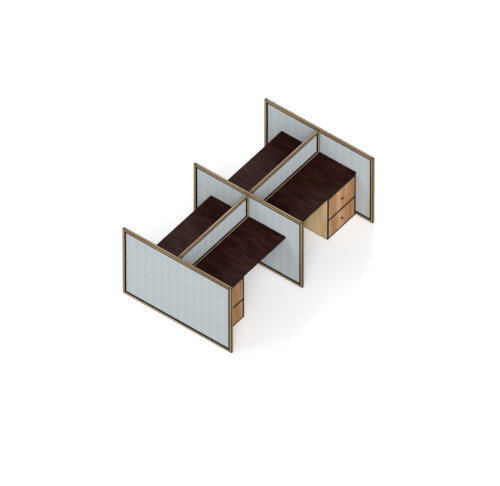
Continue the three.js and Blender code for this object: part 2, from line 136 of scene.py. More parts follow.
# Bolts of the worktop supports, and the steel that they sit on
BOLT_EDGE = 0.013
BOLT_PITCH = 0.150
BOLT_SIDES = 6
BOLT_HEAD_RADIUS = 0.0058
BOLT_HEAD_HEIGHT = 0.004
BOLT_HEAD_BEVEL = 0.0006
BOLT_HEAD_BEVEL_STEPS = 2
BOLT_DISH_RIM = 0.00145
BOLT_DISH_DEPTH = 0.00032
WASHER_RADIUS = 0.007
WASHER_THICKNESS = 0.0012
WASHER_BEVEL = 0.00036
WASHER_SIDES = 24
ANGLE_LEG = 0.040
ANGLE_END_CUT = 0.020
STEEL_GAUGE = 0.004
PLATE_WIDTH = 0.120
PLATE_HEIGHT = 0.090

# How squarely a face points along an axis, from 0 to 1: one that counts as flat in modelling, and
# in a material an end face, a side face, and an arris as it comes in
FLAT_FACE = 0.99
END_FACING = 0.8
SIDE_FACING = 0.5
ARRIS_FACING = (0.98, 0.80)
SMOOTH_ANGLE = math.radians(32)

# Black on the woodwork: the stain along its edges, full to its width and gone at its end, the bands
# on the carcasses, the lipping on the drawers and the glides under the bottom rails
STAIN_WIDTH = 0.008
STAIN_END = 0.011
STAIN_SMEAR = 0.06
BAND_DEPTH = 0.008
LIPPING_WIDTH = 0.008
GLIDE_HEIGHT = 0.0058

# How glossy each surface is
WOOD_GLOSS = 0.12
LAMINATE_GLOSS = 0.03
CLOTH_GLOSS = 0.05
STEEL_GLOSS = 0.4
RUBBER_GLOSS = 0.03


def linear(level):
    """One channel of a colour on screen, 0 to 255, as the shader's linear level."""
    share = level / 255
    return share / 12.92 if share <= 0.04045 else ((share + 0.055) / 1.055) ** 2.4


def colour(red, green, blue):
    """A colour on screen as the shader's linear one."""
    return (linear(red), linear(green), linear(blue), 1.0)


def timber_box(node):
    """The box of a CAD node, without the glides under a bottom rail."""
    low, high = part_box(node)
    if node.endswith("bottom_rail"):
        low = Vector((low.x, low.y, max(low.z, GLIDE_HEIGHT)))
    return low, high


class Finish:
    """A material in the making. Its patterns read the piece's own place, in metres."""

    def __init__(self, name):
        self.material = bpy.data.materials.new(name)
        self.material.use_nodes = True
        self.tree = self.material.node_tree
        self.shader = self.tree.nodes["Principled BSDF"]
        coordinates = self.tree.nodes.new("ShaderNodeTexCoord")
        self.place = coordinates.outputs["Object"]
        self.own_map = coordinates.outputs["UV"]
        self.x, self.y, self.z = self.places = self.parts(self.place)
        normal = self.parts(coordinates.outputs["Normal"])
        self.facing = [self.math("ABSOLUTE", part) for part in normal]

    def node(self, kind, inputs, **settings):
        made = self.tree.nodes.new(f"ShaderNode{kind}")
        for name, value in settings.items():
            setattr(made, name, value)
        for key, value in inputs.items():
            self.feed(made.inputs[key], value)
        return made

    def feed(self, socket, value):
        if isinstance(value, bpy.types.NodeSocket):
            self.tree.links.new(value, socket)
        else:
            socket.default_value = value

    def math(self, operation, first, second=0.0, third=0.0):
        return self.node("Math", {0: first, 1: second, 2: third}, operation=operation).outputs[0]

    def parts(self, vector):
        return self.node("SeparateXYZ", {0: vector}).outputs

    def vector(self, x, y, z):
        return self.node("CombineXYZ", {0: x, 1: y, 2: z}).outputs[0]

    def sized(self, sizes, place=None):
        """The place, counted in steps of these sizes along X, Y and Z."""
        scale = tuple(1 / size for size in sizes)
        return self.node("Mapping", {"Vector": place or self.place, "Scale": scale}).outputs[0]

    def noise(self, vector, detail=2.0, roughness=0.5):
        inputs = {"Vector": vector, "Scale": 1.0, "Detail": detail, "Roughness": roughness}
        return self.node("TexNoise", inputs).outputs[0]

    def blots(self, size, detail=2.0, roughness=0.5):
        """Round cloudy patches of that size."""
        return self.noise(self.sized([size] * 3), detail, roughness)

    def grain(self, along, size, detail=3.0, place=None):
        """Streaks that run along X, Y or Z (0, 1 or 2). Their size is a width and a length."""
        width, length = size
        sizes = [width] * 3
        sizes[along] = length
        return self.noise(self.sized(sizes, place), detail, roughness=0.55)

    def waves(self, length, period, ahead=0.0):
        """A sine of a length, from -1 to 1, that repeats after each period."""
        turn = self.math("MULTIPLY", self.math("ADD", length, ahead), 2 * math.pi / period)
        return self.math("SINE", turn)

    def spread(self, value, levels, onto=(0.0, 1.0)):
        """A value between two levels, spread onto another range and kept in it."""
        inputs = {"Value": value, "From Min": levels[0], "From Max": levels[1]}
        inputs.update({"To Min": onto[0], "To Max": onto[1]})
        return self.node("MapRange", inputs, clamp=True).outputs[0]

    def blend(self, first, second, share):
        """That share of the first value, and the rest of the second."""
        rest = self.math("MULTIPLY", second, 1 - share)
        return self.math("MULTIPLY_ADD", first, share, rest)

    def mix(self, share, first, second, how="MIX"):
        """Two colours, from all of the first at 0 to all of the second at 1."""
        inputs = {0: share, 6: first, 7: second}
        return self.node("Mix", inputs, data_type="RGBA", blend_type=how).outputs[2]

    def marked(self, tone, marks, ink, strength):
        """That tone, with as much of the ink as the strength says where the marks are 1."""
        return self.mix(self.math("MULTIPLY", marks, strength), tone, ink)

    def ramp(self, value, places, tones):
        """A colour for a value: these tones in turn, each at its place."""
        ramp = self.node("ValToRGB", {0: value})
        steps = ramp.color_ramp.elements
        while len(steps) < len(tones):
            steps.new(1.0)
        for step, place, tone in zip(steps, places, tones):
            step.position = place
            step.color = tone
        return ramp.outputs[0]

    def arrises(self):
        """1 on the narrow slanted faces along a straight piece's edges, 0 on its flat faces."""
        along_x, along_y, along_z = self.facing
        steepest = self.math("MAXIMUM", self.math("MAXIMUM", along_x, along_y), along_z)
        return self.spread(steepest, levels=ARRIS_FACING)

    def depth(self, node, axis):
        """How deep a place lies inside a CAD node's box, from its nearer side along that axis."""
        low, high = (corner[axis] for corner in timber_box(node))
        off_middle = self.math("SUBTRACT", self.places[axis], (low + high) / 2)
        return self.math("SUBTRACT", (high - low) / 2, self.math("ABSOLUTE", off_middle))

    def edges(self, node):
        """1 near the edges of a CAD node's box, fading to 0 away from them. A place is as near to
        an edge as the middle one of its three depths says."""
        first, second, third = (self.depth(node, axis) for axis in range(3))
        least = self.math("MINIMUM", first, second)
        most = self.math("MAXIMUM", first, second)
        middle = self.math("MAXIMUM", least, self.math("MINIMUM", most, third))
        return self.spread(middle, levels=(STAIN_END, STAIN_WIDTH))

    def black_edged(self, tone, node):
        """That tone with a black stain along a CAD node's edges, rubbed brown here and there."""
        smears = self.blots(STAIN_SMEAR, detail=3.0)
        rubbing = self.spread(smears, levels=(0.50, 0.66), onto=(0.0, 0.6))
        rubbed = self.math("MULTIPLY", self.arrises(), rubbing)
        stain = self.mix(rubbed, colour(16, 11, 8), colour(84, 62, 42))
        return self.mix(self.edges(node), tone, stain)

    def done(self, base, roughness, height, relief, gloss=0.5):
        """Joins the patterns to the shader and gives the material. The relief is how far the
        height pattern reaches, in metres."""
        self.feed(self.shader.inputs["Base Color"], base)
        self.feed(self.shader.inputs["Roughness"], roughness)
        self.shader.inputs["Specular IOR Level"].default_value = gloss
        bump = self.node("Bump", {"Height": height, "Distance": relief, "Strength": 1.0})
        self.feed(self.shader.inputs["Normal"], bump.outputs[0])
        return self.material


# Oak, with the width and length of its streaks and the size of its rings and smears
FRAME_OAK_BAND = (0.030, 0.9)
CARCASS_OAK_BAND = (0.12, 0.9)
OAK_FIBRE = (0.0035, 0.14)
OAK_PORE = (0.0011, 0.022)
OAK_RING = 0.0022
OAK_SMEAR = 0.11
OAK_FIBRE_HEIGHT = 0.5
OAK_RELIEF = 0.00025


def oak(name, along, band, tones, pore):
    """Oak with its grain along one axis and end grain on its ends, in tones from dark to light,
    as its finish, tone, roughness and height."""
    finish = Finish(name)
    bands = finish.grain(along, band, detail=2.0)
    fibres = finish.grain(along, OAK_FIBRE, detail=4.0)
    pores = finish.spread(finish.grain(along, OAK_PORE, detail=1.0), levels=(0.60, 0.70))
    figure = finish.blend(bands, fibres, share=0.75)
    tone = finish.ramp(figure, places=(0.36, 0.50, 0.64), tones=tones)
    tone = finish.marked(tone, pores, pore, strength=0.5)

    rings = finish.blots(OAK_RING, detail=3.0, roughness=0.6)
    end_tone = finish.mix(rings, pore, tones[0])
    ends = finish.math("GREATER_THAN", finish.facing[along], END_FACING)
    tone = finish.marked(tone, ends, end_tone, strength=0.7)

    unevenness = finish.math("ADD", fibres, finish.blots(OAK_SMEAR))
    roughness = finish.spread(unevenness, levels=(0.6, 1.4), onto=(0.42, 0.64))
    height = finish.math("SUBTRACT", finish.math("MULTIPLY", fibres, OAK_FIBRE_HEIGHT), pores)
    return finish, tone, roughness, height


def frame_oak(member, along):
    """Tan oiled oak of one frame member, stained black along its edges, on black plastic glides."""
    tones = [colour(152, 122, 86), colour(175, 146, 105), colour(192, 164, 122)]
    pore = colour(118, 90, 60)
    finish, tone, roughness, height = oak(f"{member}_oak", along, FRAME_OAK_BAND, tones, pore)
    tone = finish.black_edged(tone, member)
    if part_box(member)[0].z < GLIDE_HEIGHT:
        glide = finish.math("LESS_THAN", finish.z, GLIDE_HEIGHT)
        tone = finish.mix(glide, tone, colour(26, 26, 27))
    return finish.done(tone, roughness, height, OAK_RELIEF, WOOD_GLOSS)


def carcass_oak(carcass):
    """Light oak boards with upright grain, stained black along the carcass's edges and with a
    black band on the boards' front edges."""
    tones = [colour(195, 161, 114), colour(222, 187, 138), colour(240, 209, 162)]
    pore = colour(140, 110, 72)
    finish, tone, roughness, height = oak(f"{carcass}_oak", 2, CARCASS_OAK_BAND, tones, pore)
    tone = finish.black_edged(tone, carcass)
    band_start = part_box("front_right_carcass")[1].x - BAND_DEPTH
    forward = finish.math("GREATER_THAN", finish.math("ABSOLUTE", finish.x), band_start)
    tone = finish.mix(forward, tone, colour(10, 8, 7))
    return finish.done(tone, roughness, height, OAK_RELIEF, WOOD_GLOSS)


# Screen fabric, with a woven check that repeats after each period, paler and darker by these levels
CHECK_ACROSS = {"period": 0.1333, "ahead": 0.0926}
CHECK_UP = {"period": 0.0889, "ahead": 0.070}
CHECK_LEVELS = (0.954, 1.046)
YARN_WIDTH = 0.0009
YARN_LENGTH = 0.012
CLOTH_MOTTLE = (0.05, 0.05, 0.03)
MOTTLE_WEIGHT = 0.35
WEAVE_PITCH = 0.0016
CROSSING_HEIGHT = 0.5
YARN_HEIGHT = 0.6
CLOTH_RELIEF = 0.0003
CLOTH_ROUGHNESS = 0.93
CLOTH_SHEEN = 0.1
CLOTH_SHEEN_ROUGHNESS = 0.5


def screen_fabric(name, across):
    """Pale grey cloth: a plain weave of mottled yarn, with a faint woven check."""
    finish = Finish(name)
    run = finish.places[across]
    check_across = finish.waves(run, **CHECK_ACROSS)
    check_up = finish.waves(finish.z, **CHECK_UP)
    check = finish.blend(check_across, check_up, share=0.53)
    lighter = finish.spread(check, levels=(-1.0, 1.0), onto=CHECK_LEVELS)

    weft = finish.noise(finish.sized([YARN_LENGTH, YARN_LENGTH, YARN_WIDTH]))
    warp = finish.noise(finish.sized([YARN_WIDTH, YARN_WIDTH, YARN_LENGTH]))
    yarns = finish.math("ADD", weft, warp)
    mottle = finish.noise(finish.sized(CLOTH_MOTTLE), detail=3.0)
    mottled = finish.math("MULTIPLY_ADD", mottle, MOTTLE_WEIGHT, yarns)
    greys = [colour(170, 180, 184), colour(188, 196, 199), colour(205, 211, 212)]
    fleck = finish.spread(mottled, levels=(0.58, 1.78))
    tone = finish.ramp(fleck, places=(0.0, 0.5, 1.0), tones=greys)
    tone = finish.mix(1.0, tone, finish.vector(lighter, lighter, lighter), how="MULTIPLY")

    weave_across = finish.waves(run, WEAVE_PITCH)
    weave_up = finish.waves(finish.z, WEAVE_PITCH)
    crossings = finish.math("MULTIPLY", weave_across, weave_up)
    yarn_height = finish.math("MULTIPLY", yarns, YARN_HEIGHT)
    height = finish.math("MULTIPLY_ADD", crossings, CROSSING_HEIGHT, yarn_height)
    finish.shader.inputs["Sheen Weight"].default_value = CLOTH_SHEEN
    finish.shader.inputs["Sheen Roughness"].default_value = CLOTH_SHEEN_ROUGHNESS
    return finish.done(tone, CLOTH_ROUGHNESS, height, CLOTH_RELIEF, CLOTH_GLOSS)


# Wenge laminate, with the width and length of its streaks
WENGE_PATCH = (0.085, 0.26)
WENGE_STREAK = (0.013, 0.30)
WENGE_DARK_STREAK = (0.011, 0.22)
WENGE_FIBRE = (0.0016, 0.09)
WENGE_LEAF = (0.12, 0.32)
WENGE_SMEAR = 0.16
WENGE_RELIEF = 0.00008


def worktop_wenge():
    """Dark laminate printed as wenge: brown and red-brown leaves with long thin dark streaks along
    X, and nearly black edging, where the streaks are turned to run along the edge."""
    finish = Finish("worktop_wenge")
    side = finish.math("GREATER_THAN", finish.facing[0], SIDE_FACING)
    turned = finish.vector(finish.y, finish.x, finish.z)
    places = {0: side, 4: finish.place, 5: turned}
    place = finish.node("Mix", places, data_type="VECTOR").outputs[1]
    patches = finish.grain(0, WENGE_PATCH, detail=3.0, place=place)
    streaks = finish.grain(0, WENGE_STREAK, detail=4.0, place=place)
    dark_streaks = finish.grain(0, WENGE_DARK_STREAK, detail=2.0, place=place)
    fibres = finish.grain(0, WENGE_FIBRE, detail=3.0, place=place)
    leaves = finish.grain(0, WENGE_LEAF, detail=1.0, place=place)

    figure = finish.blend(patches, streaks, share=0.6)
    browns = [colour(31, 12, 6), colour(43, 20, 12), colour(56, 33, 24)]
    reds = [colour(34, 13, 9), colour(47, 21, 18), colour(63, 36, 33)]
    brown = finish.ramp(figure, places=(0.38, 0.50, 0.64), tones=browns)
    red = finish.ramp(figure, places=(0.38, 0.50, 0.64), tones=reds)
    tone = finish.mix(finish.spread(leaves, levels=(0.42, 0.58)), brown, red)
    dark = finish.spread(dark_streaks, levels=(0.60, 0.70))
    tone = finish.marked(tone, dark, colour(20, 7, 5), strength=0.6)
    lines = finish.spread(fibres, levels=(0.40, 0.66))
    tone = finish.marked(tone, lines, colour(20, 8, 6), strength=0.35)
    edging = finish.math("MAXIMUM", side, finish.arrises())
    tone = finish.marked(tone, edging, colour(14, 8, 7), strength=0.6)
    smears = finish.blots(WENGE_SMEAR, detail=3.0)
    roughness = finish.spread(smears, levels=(0.3, 0.7), onto=(0.42, 0.58))
    return finish.done(tone, roughness, lines, WENGE_RELIEF, LAMINATE_GLOSS)


# Beech, with the width and length of its streaks, and its pale heart beside the knob
BEECH_BAND = (0.095, 1.1)
BEECH_STREAK = (0.020, 0.6)
BEECH_FIBRE = (0.0022, 0.10)
BEECH_FLECK = (0.0012, 0.0045)
HEART_OFFSET = 0.075
HEART_REACH = 0.11
HEART_PALENESS = 0.12
BEECH_RELIEF = 0.00012


def drawer_beech(front):
    """Beech on one drawer front: broad upright bands, a pale heart beside the knob, short ray
    flecks and a black lipping round its edges."""
    finish = Finish(f"{front}_beech")
    low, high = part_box(front)
    heart_place = (low.y + high.y) / 2 - HEART_OFFSET
    off_heart = finish.math("ABSOLUTE", finish.math("SUBTRACT", finish.y, heart_place))
    heart = finish.spread(off_heart, levels=(HEART_REACH, 0.0))
    bands = finish.grain(2, BEECH_BAND, detail=2.0)
    streaks = finish.grain(2, BEECH_STREAK, detail=3.0)
    fibres = finish.grain(2, BEECH_FIBRE, detail=3.0)
    flecks = finish.spread(finish.grain(2, BEECH_FLECK, detail=1.0), levels=(0.64, 0.72))

    figure = finish.blend(bands, streaks, share=0.6)
    figure = finish.math("MULTIPLY_ADD", heart, HEART_PALENESS, figure)
    tones = [colour(150, 102, 64), colour(177, 130, 88), colour(211, 164, 124)]
    tone = finish.ramp(figure, places=(0.38, 0.52, 0.68), tones=tones)
    tone = finish.marked(tone, fibres, colour(146, 98, 62), strength=0.18)
    tone = finish.marked(tone, flecks, colour(130, 84, 50), strength=0.45)
    edge_depth = finish.math("MINIMUM", finish.depth(front, 1), finish.depth(front, 2))
    lipping = finish.math("LESS_THAN", edge_depth, LIPPING_WIDTH)
    tone = finish.mix(lipping, tone, colour(12, 9, 8))
    roughness = finish.spread(fibres, levels=(0.3, 0.7), onto=(0.40, 0.55))
    return finish.done(tone, roughness, fibres, BEECH_RELIEF, WOOD_GLOSS)


# Birch ply, with the width and length of its streaks and the pitch of its layers
PLY_FIBRE = (0.004, 0.16)
PLY_PATCH = (0.05, 0.5)
PLY_PITCH = 0.0042
PLY_ROUGHNESS = 0.55
PLY_RELIEF = 0.0001


def drawer_ply():
    """Sealed birch ply: pale faces with grain along X, and its layers on the upper edges."""
    finish = Finish("drawer_ply")
    fibres = finish.grain(0, PLY_FIBRE, detail=3.0)
    patches = finish.grain(0, PLY_PATCH, detail=2.0)
    tones = [colour(190, 162, 120), colour(205, 180, 140), colour(220, 198, 160)]
    figure = finish.blend(patches, fibres, share=0.6)
    tone = finish.ramp(figure, places=(0.36, 0.50, 0.66), tones=tones)
    layers = finish.waves(finish.math("ADD", finish.x, finish.y), PLY_PITCH)
    upper = finish.math("GREATER_THAN", finish.facing[2], END_FACING)
    dark_layers = finish.math("MULTIPLY", finish.spread(layers, levels=(-0.2, 0.3)), upper)
    tone = finish.marked(tone, dark_layers, colour(142, 104, 66), strength=0.55)
    return finish.done(tone, PLY_ROUGHNESS, fibres, PLY_RELIEF, WOOD_GLOSS)


# Metals and rubber, with the size of the patterns on them
PEEL_SIZE = 0.0012
DUST_SIZE = 0.06
PEEL_RELIEF = 0.00006
ZINC_CLOUD = 0.003
ZINC_RELIEF = 0.00003
TURNING_RINGS_PER_METRE = 2600
KNOB_WEAR = 0.006
TURNING_RELIEF = 0.00004
BLOOM_SIZE = 0.02
GRIT_SIZE = 0.0008
GRIT_RELIEF = 0.00005


def support_steel():
    """Black powder coat: a fine orange peel under a little dust."""
    finish = Finish("support_steel")
    peel = finish.blots(PEEL_SIZE)
    dust = finish.blots(DUST_SIZE, detail=4.0)
    dusty = finish.spread(dust, levels=(0.45, 0.8), onto=(0.0, 0.35))
    tone = finish.mix(dusty, colour(34, 35, 37), colour(74, 74, 75))
    roughness = finish.spread(dust, levels=(0.3, 0.8), onto=(0.42, 0.7))
    return finish.done(tone, roughness, peel, PEEL_RELIEF, STEEL_GLOSS)


def bolt_zinc():
    """Bright zinc plate with cloudy patches."""
    finish = Finish("bolt_zinc")
    clouds = finish.blots(ZINC_CLOUD, detail=3.0)
    tone = finish.mix(clouds, colour(150, 152, 155), colour(196, 198, 200))
    roughness = finish.spread(clouds, levels=(0.3, 0.7), onto=(0.28, 0.5))
    finish.shader.inputs["Metallic"].default_value = 1.0
    return finish.done(tone, roughness, clouds, ZINC_RELIEF)


def knob_metal(name, dark, light, metallic, gloss):
    """Turned metal, bare or blacked: fine rings round the knob's axis, at the distance from it
    that the knob's own map gives."""
    finish = Finish(name)
    across, up, _ = finish.parts(finish.own_map)
    off_axis = {0: finish.vector(across, up, 0.0)}
    radius = finish.node("VectorMath", off_axis, operation="LENGTH").outputs[1]
    turned = finish.math("MULTIPLY", radius, TURNING_RINGS_PER_METRE)
    rings = finish.noise(finish.vector(turned, 0.0, 0.0), detail=3.0)
    wear = finish.blots(KNOB_WEAR, detail=3.0)
    tone = finish.mix(finish.blend(rings, wear, share=0.6), dark, light)
    roughness = finish.spread(wear, levels=(0.3, 0.7), onto=(0.28, 0.46))
    finish.shader.inputs["Metallic"].default_value = metallic
    return finish.done(tone, roughness, rings, TURNING_RELIEF, gloss)


def gasket_rubber():
    """Matt black rubber with a little bloom."""
    finish = Finish("gasket_rubber")
    bloom = finish.blots(BLOOM_SIZE, detail=4.0)
    grit = finish.blots(GRIT_SIZE)
    bloomed = finish.spread(bloom, levels=(0.4, 0.8), onto=(0.0, 0.5))
    tone = finish.mix(bloomed, colour(5, 5, 6), colour(18, 18, 19))
    roughness = finish.spread(bloom, levels=(0.3, 0.7), onto=(0.65, 0.85))
    return finish.done(tone, roughness, grit, GRIT_RELIEF, RUBBER_GLOSS)


def use(material, *names):
    """Gives CAD nodes their finish."""
    for name in names:
        slots = nodes[name].data.materials
        slots.clear()
        slots.append(material)


def select_only(piece):
    bpy.ops.object.select_all(action="DESELECT")
    bpy.context.view_layer.objects.active = piece
    piece.select_set(True)


@contextmanager
def editing(piece):
    """Edit mode on one piece, with nothing selected and faces to be picked."""
    select_only(piece)
    bpy.ops.object.mode_set(mode="EDIT")
    bpy.ops.mesh.select_mode(type="FACE")
    bpy.ops.mesh.select_all(action="DESELECT")
    yield
    bpy.ops.object.mode_set(mode="OBJECT")


def pick_faces(piece, wanted):
    """Selects the faces for which wanted holds, and no others."""
    mesh = bmesh.from_edit_mesh(piece.data)
    for face in mesh.faces:
        face.select_set(wanted(face))
    bmesh.update_edit_mesh(piece.data)


def bevel_outline(width, steps):
    """Bevels the outline of the faces that are selected, and goes back to picking faces."""
    bpy.ops.mesh.region_to_loop()
    bpy.ops.mesh.bevel(offset=width, segments=steps, affect="EDGES")
    bpy.ops.mesh.select_all(action="DESELECT")
    bpy.ops.mesh.select_mode(type="FACE")


def renamed(piece, name):
    piece.name = name
    piece.data.name = name
    return piece


def started(name, *materials):
    """The primitive just added, with its name and finishes and with its size fixed in its mesh."""
    piece = renamed(bpy.context.object, name)
    bpy.ops.object.transform_apply(location=True, rotation=True, scale=True)
    for material in materials:
        piece.data.materials.append(material)
    return piece


def copied(piece):
    """A copy of a piece, with its own mesh."""
    twin = piece.copy()
    twin.data = piece.data.copy()
    bpy.context.collection.objects.link(twin)
    return twin


def joined(pieces):
    """The first of several pieces, with the others joined to it."""
    select_only(pieces[0])
    for piece in pieces:
        piece.select_set(True)
    bpy.ops.object.join()
    return pieces[0]


def smoothed(piece):
    select_only(piece)
    bpy.ops.object.shade_smooth_by_angle(angle=SMOOTH_ANGLE)
    return piece


def settled(piece, place, turn=0.0):
    """A finished piece, turned about Z and moved by its mesh, so that its object stays at the
    origin."""
    piece.data.transform(Matrix.Translation(place) @ Matrix.Rotation(turn, 4, "Z"))
    return piece


def screen_layout(name):
    """Middle, turn, opening and board sizes of a framed screen, from its CAD pieces."""
    wide = name in WIDE_SCREENS
    ends = SIDES if wide else BAYS
    across = 0 if wide else 1
    low_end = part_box(f"{name}_{ends[0]}_stile")[1][across]
    high_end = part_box(f"{name}_{ends[1]}_stile")[0][across]
    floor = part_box(f"{name}_bottom_rail")[1].z
    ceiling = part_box(f"{name}_top_rail")[0].z
    low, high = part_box(f"{name}_infill")
    frame_low, frame_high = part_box(f"{name}_top_rail")
    return {
        "middle": (low + high) / 2,
        "turn": 0.0 if wide else math.pi / 2,
        "across": across,
        "opening": (high_end - low_end, ceiling - floor),
        "board": (high[across] - low[across], high.z - low.z),
        "thickness": (high - low)[1 - across],
        "frame": (frame_high - frame_low)[1 - across],
    }


def wrapped_board(name, fabric):
    """A fabric board: a thin core that runs into the frame's grooves, and on both of its faces a
    field of wrapped cloth with soft edges and a slight swell."""
    layout = screen_layout(name)
    width, height = layout["board"]
    bpy.ops.mesh.primitive_cube_add(size=1)
    bpy.context.object.scale = (width, TONGUE_THICKNESS, height)
    board = started(f"{name}_fabric_board", fabric)
    border = (width - layout["opening"][0]) / 2 + SHADOW_GAP
    rise = (layout["thickness"] - TONGUE_THICKNESS) / 2
    field_width = width - 2 * border - 4 * WRAP_RADIUS
    half_field = field_width * height / 4

    def is_side(face):
        return abs(face.normal.y) > FLAT_FACE

    def is_field(face):
        return is_side(face) and face.calc_area() > half_field

    with editing(board):
        pick_faces(board, is_side)
        bpy.ops.mesh.inset(thickness=border, depth=0.0)
        bpy.ops.mesh.inset(thickness=PAD_WALL_SLOPE, depth=rise - PAD_RISE)
        bevel_outline(WRAP_RADIUS, WRAP_STEPS)
        pick_faces(board, is_field)
        for share in PAD_RISE_SHARES:
            bpy.ops.mesh.inset(thickness=PAD_EDGE, depth=PAD_RISE * share)
    smoothed(board)
    settled(board, layout["middle"], layout["turn"])
    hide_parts(f"{name}_infill")
    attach(board, "root")


def gasket_ring(width, height, band, rise):
    """A flat ring of rubber that lies in X and Z and faces -Y, with both of its edges rounded."""
    bpy.ops.mesh.primitive_plane_add(size=1, rotation=(math.pi / 2, 0, 0))
    bpy.context.object.scale = (width, height, 1)
    ring = started("gasket_ring")
    with editing(ring):
        bpy.ops.mesh.select_all(action="SELECT")
        bpy.ops.mesh.inset(thickness=band, depth=0.0)
        bpy.ops.mesh.delete(type="FACE")
        bpy.ops.mesh.select_all(action="SELECT")
        bpy.ops.mesh.extrude_region_move(TRANSFORM_OT_translate={"value": (0, -rise, 0)})
        bevel_outline(GASKET_ROUND, GASKET_STEPS)
        bpy.ops.mesh.select_all(action="SELECT")
        bpy.ops.mesh.normals_make_consistent(inside=False)
    return ring


def gaskets(name, rubber):
    """The two black gaskets of a screen, which lie between its fabric and its frame."""
    layout = screen_layout(name)
    width, height = (size - 2 * GASKET_CLEARANCE for size in layout["opening"])
    band = SHADOW_GAP - 2 * GASKET_CLEARANCE
    rise = (layout["frame"] - TONGUE_THICKNESS) / 2 - GASKET_SINK
    front = gasket_ring(width, height, band, rise)
    settled(front, Vector((0, -TONGUE_THICKNESS / 2 - GASKET_CLEARANCE, 0)))
    back = settled(copied(front), Vector(), math.pi)
    pair = renamed(joined([front, back]), f"{name}_gaskets")
    pair.data.materials.append(rubber)
    smoothed(pair)
    settled(pair, layout["middle"], layout["turn"])
    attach(pair, "root")


def arc(centre, radius, start, end, steps):
    """Points of an arc, each as radius and reach, from one angle to another."""
    angles = [start + (end - start) * step / steps for step in range(steps + 1)]
    return [(centre[0] + radius * math.cos(a), centre[1] + radius * math.sin(a)) for a in angles]


def screw_profile(head_seat):
    """The outline of a knob's screw, from the middle of its head to the knob's base, as radius
    and reach from the drawer's face."""
    head_end = head_seat - SCREW_HEAD_THICKNESS
    return [
        (0, head_end),
        (SCREW_HEAD_RADIUS - SCREW_HEAD_BEVEL_WIDTH, head_end),
        (SCREW_HEAD_RADIUS, head_end + SCREW_HEAD_BEVEL_HEIGHT),
        (SCREW_HEAD_RADIUS, head_seat),
        (SCREW_RADIUS, head_seat),
        (SCREW_RADIUS, 0),
    ]


def neck_profile(radius, waist):
    """The outline of a knob's base, its neck and the flare that opens into its head."""
    points = [
        (KNOB_BASE_RADIUS, 0),
        (KNOB_BASE_RADIUS, KNOB_BASE_THICKNESS - KNOB_BASE_BEVEL_HEIGHT),
        (KNOB_BASE_RADIUS - KNOB_BASE_BEVEL_WIDTH, KNOB_BASE_THICKNESS),
        (KNOB_NECK_RADIUS + KNOB_NECK_FILLET_WIDTH, KNOB_BASE_THICKNESS + KNOB_NECK_FILLET_HEIGHT),
        (KNOB_NECK_RADIUS, waist / 2),
    ]
    widening = radius - KNOB_RIM_ROUND - KNOB_NECK_RADIUS
    climb = KNOB_FLARE_REACH - KNOB_RIM_ROUND
    for step in range(KNOB_FLARE_STEPS + 1):
        share = step / KNOB_FLARE_STEPS
        flare_reach = waist + climb * share**KNOB_FLARE_CURVE
        points.append((KNOB_NECK_RADIUS + widening * share, flare_reach))
    return points


def rim_profile(radius, reach):
    """The outline of a knob's rim, round at the back and at the front."""
    middle = radius - KNOB_RIM_ROUND
    back = (middle, reach - KNOB_RIM_REACH)
    front = (middle, reach - KNOB_RIM_ROUND)
    points = arc(back, KNOB_RIM_ROUND, -math.pi / 2, 0.0, KNOB_RIM_BACK_STEPS)
    return points + arc(front, KNOB_RIM_ROUND, 0.0, math.pi / 2, KNOB_RIM_FRONT_STEPS)


def dish_profile(reach):
    """The outline of a knob's dish, from its lip to the nib in its middle."""
    floor = reach - KNOB_DISH_DEPTH
    return [
        (KNOB_DISH_RADIUS + KNOB_LIP_WIDTH, reach),
        (KNOB_DISH_RADIUS, reach - KNOB_LIP_DROP),
        (KNOB_DISH_RADIUS - KNOB_DISH_SLOPE, floor),
        (KNOB_DISH_RADIUS / 2, floor - KNOB_DISH_SAG),
        (KNOB_NIB_RADIUS, floor),
        (KNOB_NIB_TOP_RADIUS, floor + KNOB_NIB_SHOULDER),
        (0, floor + KNOB_NIB_HEIGHT),
    ]


def turned_knob(dark_metal, pale_metal):
    """A knob on the X axis with its seat at its right place on X, revolved from its outline and
    that of its screw. Its map gives each place across the axis."""
    low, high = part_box("front_right_upper_knob")
    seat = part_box("front_right_upper_front")[1].x + SEAT_GAP
    radius = (high.y - low.y) / 2
    reach = high.x - seat
    profile = screw_profile(low.x + SCREW_HEAD_THICKNESS - seat)
    profile += neck_profile(radius, reach - KNOB_RIM_REACH - KNOB_FLARE_REACH)
    profile += rim_profile(radius, reach)
    profile += dish_profile(reach)

    mesh = bpy.data.meshes.new("turned_knob")
    points = [(seat + along, 0, off_axis) for off_axis, along in profile]
    mesh.from_pydata(points, [(i, i + 1) for i in range(len(points) - 1)], [])
    knob = bpy.data.objects.new("turned_knob", mesh)
    bpy.context.collection.objects.link(knob)
    with editing(knob):
        bpy.ops.mesh.select_all(action="SELECT")
        bpy.ops.mesh.spin(steps=KNOB_SIDES, angle=2 * math.pi, center=(0, 0, 0), axis=(1, 0, 0))
        bpy.ops.mesh.select_all(action="SELECT")
        bpy.ops.mesh.remove_doubles(threshold=MERGE_DISTANCE)
        bpy.ops.mesh.normals_make_consistent(inside=False)

    mapped = mesh.uv_layers.new(name="turning")
    for loop in mesh.loops:
        place = mesh.vertices[loop.vertex_index].co
        mapped.data[loop.index].uv = (place.y, place.z)
    mesh.materials.append(dark_metal)
    mesh.materials.append(pale_metal)
    dish_start = high.x - 2 * KNOB_DISH_DEPTH
    for face in mesh.polygons:
        across = math.hypot(face.center.y, face.center.z)
        face.material_index = int(across < KNOB_DISH_RADIUS and face.center.x > dish_start)
    return smoothed(knob)


